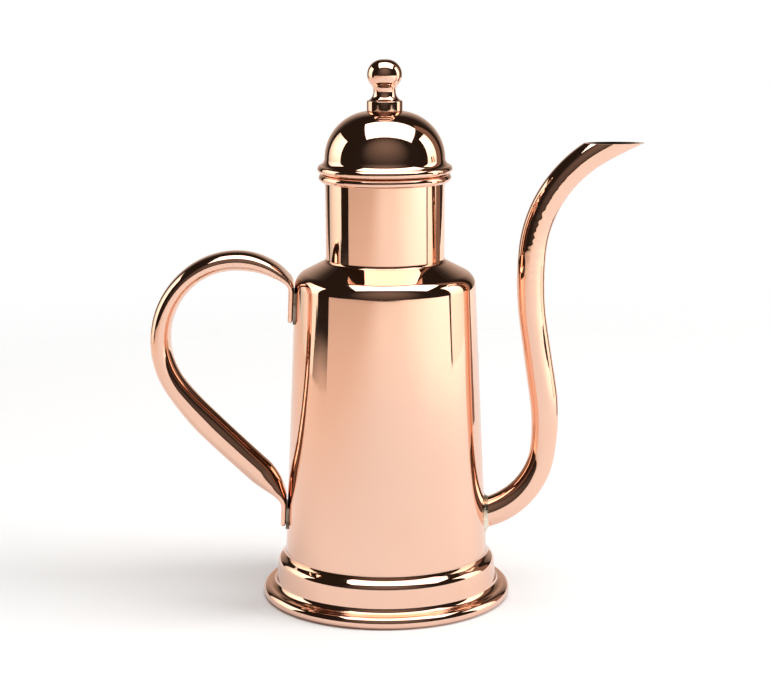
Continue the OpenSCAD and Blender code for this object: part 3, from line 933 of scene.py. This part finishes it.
# %% Handle tube
HANDLE_D, TAB_T, HANDLE_SIDES = 12.2, 2.4, 80
LEAN = math.degrees(math.atan(TAPER))
HANDLE_START_Z = 124.8
HANDLE_START = (-wall_radius(HANDLE_START_Z) - TAB_T / 2 - 0.15, HANDLE_START_Z)
HANDLE_BENDS = [(14.36, 0, TAB_T), (4, 50.5, 3.4), (8, 13.7, 6.5), (14.235, 24.3, 8.7),
                (23.7, 41.4, 8.4), (30, 47.3, 9), (27, 41.4, 10.6), (23.4, 9.4, 12.4),
                (28.45, 1.5, 12.2), (8, -4.5, 9.6), (5.5, -6, 5.3), (5.5, -39, TAB_T),
                (8.6, 0, TAB_T)]
TAB_END = 1.2                    # length over which a tab's end is rounded
handle_line = walk(HANDLE_BENDS, *HANDLE_START, 90 - LEAN, TAB_T)
handle_length = handle_line[-1][4]


def handle_ring(spot):
    """The tube's ring at one spot, with the tab's end rounded."""
    thick = spot[3] / 2
    broad = math.sqrt(HANDLE_D ** 2 / 2 - thick ** 2)
    squareness = 2 + 5 * max(0.0, 1 - spot[3] / HANDLE_D) ** 3
    from_end = min(spot[4], handle_length - spot[4])
    pinch = 1 - math.sqrt(max(0.0, 1 - (1 - min(1.0, from_end / TAB_END)) ** 2))
    wave = 0.02 * noise.noise(Vector((spot[4] * 0.08, 2.0, 0.0)))
    return tube_ring(spot, thick * (1 - 0.55 * pinch) + wave, broad - 1.3 * pinch + wave,
                     squareness, HANDLE_SIDES)


def end_spots(line):
    """The line with extra spots near both ends, where the tab is rounded."""
    extra = []
    for end, inner in ((line[0], line[1]), (line[-1], line[-2])):
        step = abs(inner[4] - end[4])
        extra.append([tuple(a + (b - a) * d / step for a, b in zip(end, inner))
                      for d in (0.04, 0.12, 0.25, 0.42, 0.62) if d < step])
    return [line[0]] + extra[0] + line[1:-1] + extra[1][::-1] + [line[-1]]


bm = bmesh.new()
rings = loft(bm, [handle_ring(s) for s in end_spots(handle_line)])
for ring in (rings[0], rings[-1]):
    bm.faces.new(ring)
handle = piece_from(bm, "loop_handle", sharp_degrees=50)
stand_for(handle, "handle_tube", "pot", "copper", tube_copper)
# The tabs' solder gets the dark solder, which is painted shade in the gap under each tab.
for node in ("handle_solder_top", "handle_solder_low"):
    keep_node(node, solder_in_painted_shade)


# %% [markdown]
# ## The studio
# A mirror shows the room, so the room is the second half of the material. It is a product
# photographer's set: a white table, a large soft light overhead, one tall soft light on each side
# a little behind the pot, a warm sheet behind it and a dim room in front. All of these are flat
# panels that only show in reflections. The camera sees a plain white surround instead, and
# separate lights do the lighting of the floor, so each can be tuned alone.

# %% Glow and panels
def glow_material(name, colour, strength, fade=None):
    """Plain light; fade is (centre, distance at which it is gone, what is left there)."""
    material = bpy.data.materials.new(name)
    material.use_nodes = True
    tree = material.node_tree
    tree.nodes.clear()
    glow = tree.nodes.new("ShaderNodeEmission")
    out = tree.nodes.new("ShaderNodeOutputMaterial")
    tree.links.new(glow.outputs[0], out.inputs["Surface"])
    glow.inputs["Color"].default_value = (*colour, 1)
    glow.inputs["Strength"].default_value = strength
    if fade:
        centre, reach, left = fade
        place = Wire(tree, tree.nodes.new("ShaderNodeTexCoord").outputs["Object"])
        away = place.node("ShaderNodeVectorMath", {"operation": "DISTANCE"},
                          {0: place, 1: centre}, output=1)
        dimmed = tuple(part * left for part in colour)
        connect(away.ramp(reach, 0.0).mix((*dimmed, 1), (*colour, 1)), glow, "Color")
    return material


def studio_panel(name, corners, material, camera=False, glossy=True, diffuse=False, shadow=False):
    """A flat panel of the studio, from its corners in metres."""
    mesh = bpy.data.meshes.new(name)
    mesh.from_pydata(corners, [], [list(range(len(corners)))])
    mesh.materials.append(material)
    panel = bpy.data.objects.new(name, mesh)
    bpy.context.scene.collection.objects.link(panel)
    panel.visible_camera, panel.visible_glossy = camera, glossy
    panel.visible_diffuse, panel.visible_shadow = diffuse, shadow
    panel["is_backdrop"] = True
    return panel


def square_to(axis, value, *places):
    """Corners of a panel square to an axis: that coordinate, then pairs of the other two."""
    at = "XYZ".index(axis)
    return [(*place[:at], value, *place[at:]) for place in places]


floor_z = cad_low.z
print("floor at", round(floor_z / MM, 2), "mm")

# %% [markdown]
# ## The white table
# The table is there twice. The camera sees one that catches the shadow and fades into the
# surround, so it has no edge. The copper sees another one, a hair higher, with edges at both
# sides, and the darkness past an edge gives polished copper its brown bands. That table glows a
# little, browner in the shade on the left and warmer on the far right.

# %% The table for the camera
FLOOR_WHITE = (0.86, 0.8557, 0.8471, 1)
FLOOR_FADE_START, FLOOR_FADE_END = 0.22, 0.85
FLOOR_HALF = 1.2
faded_paper, shader, place = new_finish("white_table_fading_into_the_surround")
shader.inputs["Base Color"].default_value = FLOOR_WHITE
shader.inputs["Roughness"].default_value = 0.7
connect(length_of(place).ramp(FLOOR_FADE_END, FLOOR_FADE_START), shader, "Alpha")
studio_panel("floor", square_to("Z", floor_z, (-FLOOR_HALF, -FLOOR_HALF), (FLOOR_HALF, -FLOOR_HALF),
                                (FLOOR_HALF, FLOOR_HALF), (-FLOOR_HALF, FLOOR_HALF)),
             faded_paper, camera=True, glossy=False, diffuse=True, shadow=True)
print("floor fades from", FLOOR_FADE_START, "to", FLOOR_FADE_END, "m from the pot")

# %% The table for the copper
TABLE_LIFT = 0.00003
TABLE_LEFT, TABLE_RIGHT, TABLE_FAR, TABLE_SIDE = -0.66, 0.78, 1.5, 2.0
table_z = floor_z + TABLE_LIFT
paper, shader, place = new_finish("white_table")
from_left = part_of(place, "X").ramp(-0.7, -0.02)
near_right = part_of(place, "X").ramp(0.35, 0.9)
far = length_of(place).ramp(0.3, 1.5)
table_glow = far.mix((0.13, 0.125, 0.13, 1), (0.42, 0.36, 0.29, 1))
table_glow = near_right.mix(table_glow, (0.52, 0.46, 0.36, 1))
connect(from_left.mix((0.57, 0.48, 0.43, 1), (0.65, 0.635, 0.635, 1)), shader, "Base Color")
connect(from_left.mix((0.27, 0.2, 0.16, 1), table_glow), shader, "Emission Color")
shader.inputs["Emission Strength"].default_value = 1.0
shader.inputs["Roughness"].default_value = 0.7
studio_panel("table_seen_in_the_copper",
             square_to("Z", table_z, (TABLE_LEFT, TABLE_FAR), (TABLE_LEFT, -0.19),
                       (-TABLE_SIDE, -0.573), (-TABLE_SIDE, -TABLE_SIDE),
                       (TABLE_SIDE, -TABLE_SIDE), (TABLE_SIDE, -0.14),
                       (TABLE_RIGHT, -0.055), (TABLE_RIGHT, TABLE_FAR)), paper)
studio_panel("table_edge_in_shade",
             square_to("Z", table_z, (TABLE_LEFT, -0.19), (TABLE_LEFT, 0.1), (-1.1, 0.1),
                       (-1.1, -0.316)),
             glow_material("shade_glow", (1.0, 0.8, 0.68), 0.75,
                           ((-0.62, -0.1, table_z), 0.42, 0.03)))
print("behind the pot the copper's table runs from", TABLE_LEFT, "to", TABLE_RIGHT, "m")

# %% [markdown]
# ## Soft lights and sheets
# The overhead light makes the bright shoulder, step and lid. The side lights make the long pale
# strips on body and neck, and fade away from one place as a real soft box does. A brown strip
# stands before the right light, like its cloth edge. The warm sheet and the dim room keep the
# rest of the copper brown instead of black.

# %% Soft lights and sheets that the copper shows
OVERHEAD_Z, LEFT_X, RIGHT_X, SHEET_Y, ROOM_Y = 1.25, -1.26, 1.3, 1.6, -2.6
studio_panel("overhead_soft_light",
             square_to("Z", OVERHEAD_Z, (-0.68, -0.58), (1.2, -0.58), (0.8, 0.4), (-0.42, 0.36)),
             glow_material("overhead_glow", (1, 1, 1), 2.6))
studio_panel("left_soft_light",
             square_to("X", LEFT_X, (0.06, -0.4), (1.2, -0.4), (1.2, 1.08), (0.06, 0.98)),
             glow_material("left_glow", (1.0, 0.96, 0.86), 2.4, ((LEFT_X, 0.1, 0.9), 1.5, 0.3)))
studio_panel("right_soft_light",
             square_to("X", RIGHT_X, (-0.02, -0.4), (0.69, -0.4), (0.69, 1.25), (-0.02, 1.2)),
             glow_material("right_glow", (1.0, 0.97, 0.87), 2.5, ((RIGHT_X, 0.1, 0.9), 1.5, 0.34)))
studio_panel("brown_edge_of_right_light",
             [(0.387, 0.164, 0.0), (0.322, 0.27, 0.0), (0.322, 0.27, 0.7), (0.387, 0.164, 0.7)],
             glow_material("edge_glow", (1.0, 0.62, 0.46), 0.24))
studio_panel("warm_sheet_behind",
             square_to("Y", SHEET_Y, (-1.2, -0.4), (1.2, -0.4), (1.2, 1.6), (-1.2, 1.6)),
             glow_material("sheet_glow", (1.0, 0.82, 0.70), 0.72, ((0, SHEET_Y, 0.0), 1.7, 0.04)))
studio_panel("dim_room_in_front",
             square_to("Y", ROOM_Y, (-4.4, 0.0), (9.0, 0.0), (9.0, 4.8), (-4.4, 4.8)),
             glow_material("room_glow", (1.0, 0.78, 0.66), 0.21, ((0.1, ROOM_Y, 2.3), 3.4, 0.1)))

# %% [markdown]
# ## Surround and floor lights
# A large white ball is what the camera sees behind the pot. It doesn't show in the copper, and the
# world is nearly black, so a reflection is dark wherever no panel stands. Two soft lights, also
# unseen in the copper, light the floor and the inside of the pot. One comes from the right, so
# the shadow falls softly to the left.

# %% Surround, world and floor lights
bpy.ops.mesh.primitive_uv_sphere_add(segments=48, ring_count=24, radius=9.0)
surround = bpy.context.object
surround.name = "white_surround"
surround.data.materials.append(glow_material("surround_glow", (1, 1, 1), 1.0))
surround.visible_glossy = surround.visible_diffuse = surround.visible_shadow = False
surround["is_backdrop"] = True

world = bpy.data.worlds.new("dark_studio")
bpy.context.scene.world = world
world.use_nodes = True
background = world.node_tree.nodes["Background"]
background.inputs["Color"].default_value = (0.020, 0.014, 0.010, 1)
background.inputs["Strength"].default_value = 1.0


def soft_light(name, place, aim, size, watts):
    """A square soft light that doesn't show in the copper."""
    data = bpy.data.lights.new(name, "AREA")
    data.shape, data.size, data.energy = "SQUARE", size, watts
    light = bpy.data.objects.new(name, data)
    light.location = place
    light.rotation_euler = (Vector(aim) - Vector(place)).to_track_quat("-Z", "Y").to_euler()
    bpy.context.scene.collection.objects.link(light)
    light.visible_glossy = light.visible_camera = False
    return light


soft_light("overhead", (0.1, -0.2, 2.4), (0, 0, 0), 3.0, 84)
soft_light("from_right", (2.5, -0.35, 1.1), (0, 0, 0.1), 1.5, 60)
bpy.context.scene.view_settings.view_transform = "Standard"


# %% [markdown]
# ## Camera
# The camera stands a little above the pot and looks down on it with a long lens, as a product
# photographer would, so upright lines stay nearly parallel.

# %% Camera
PITCH = math.radians(11.5)
ROLL = math.radians(0.2)
CAMERA_PLACE = Vector((0.0, -0.8754, 0.2892))
camera_data = bpy.data.cameras.new("camera")
camera_data.lens, camera_data.sensor_width = 94.3, 36.0    # mm
camera = bpy.data.objects.new("camera", camera_data)
look = Vector((0, math.cos(PITCH), -math.sin(PITCH)))
aimed = look.to_track_quat("-Z", "Y").to_matrix().to_4x4()
camera.matrix_world = Matrix.Translation(CAMERA_PLACE) @ Matrix.Rotation(ROLL, 4, look) @ aimed
bpy.context.scene.collection.objects.link(camera)
bpy.context.scene.camera = camera
print("camera", round(CAMERA_PLACE.length, 3), "m from the pot's foot")


# %% [markdown]
# ## The end
# The box of all the new pieces is measured against the CAD model's box, and the largest
# difference is printed. They should agree to about a tenth of a millimetre.

# %% Sizes compared, and the end
seen_low, seen_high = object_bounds()
most = max(abs(a - b) for a, b in zip([*cad_low, *cad_high], [*seen_low, *seen_high]))
print("CAD box and visual box differ by at most", round(most / MM, 2), "mm")
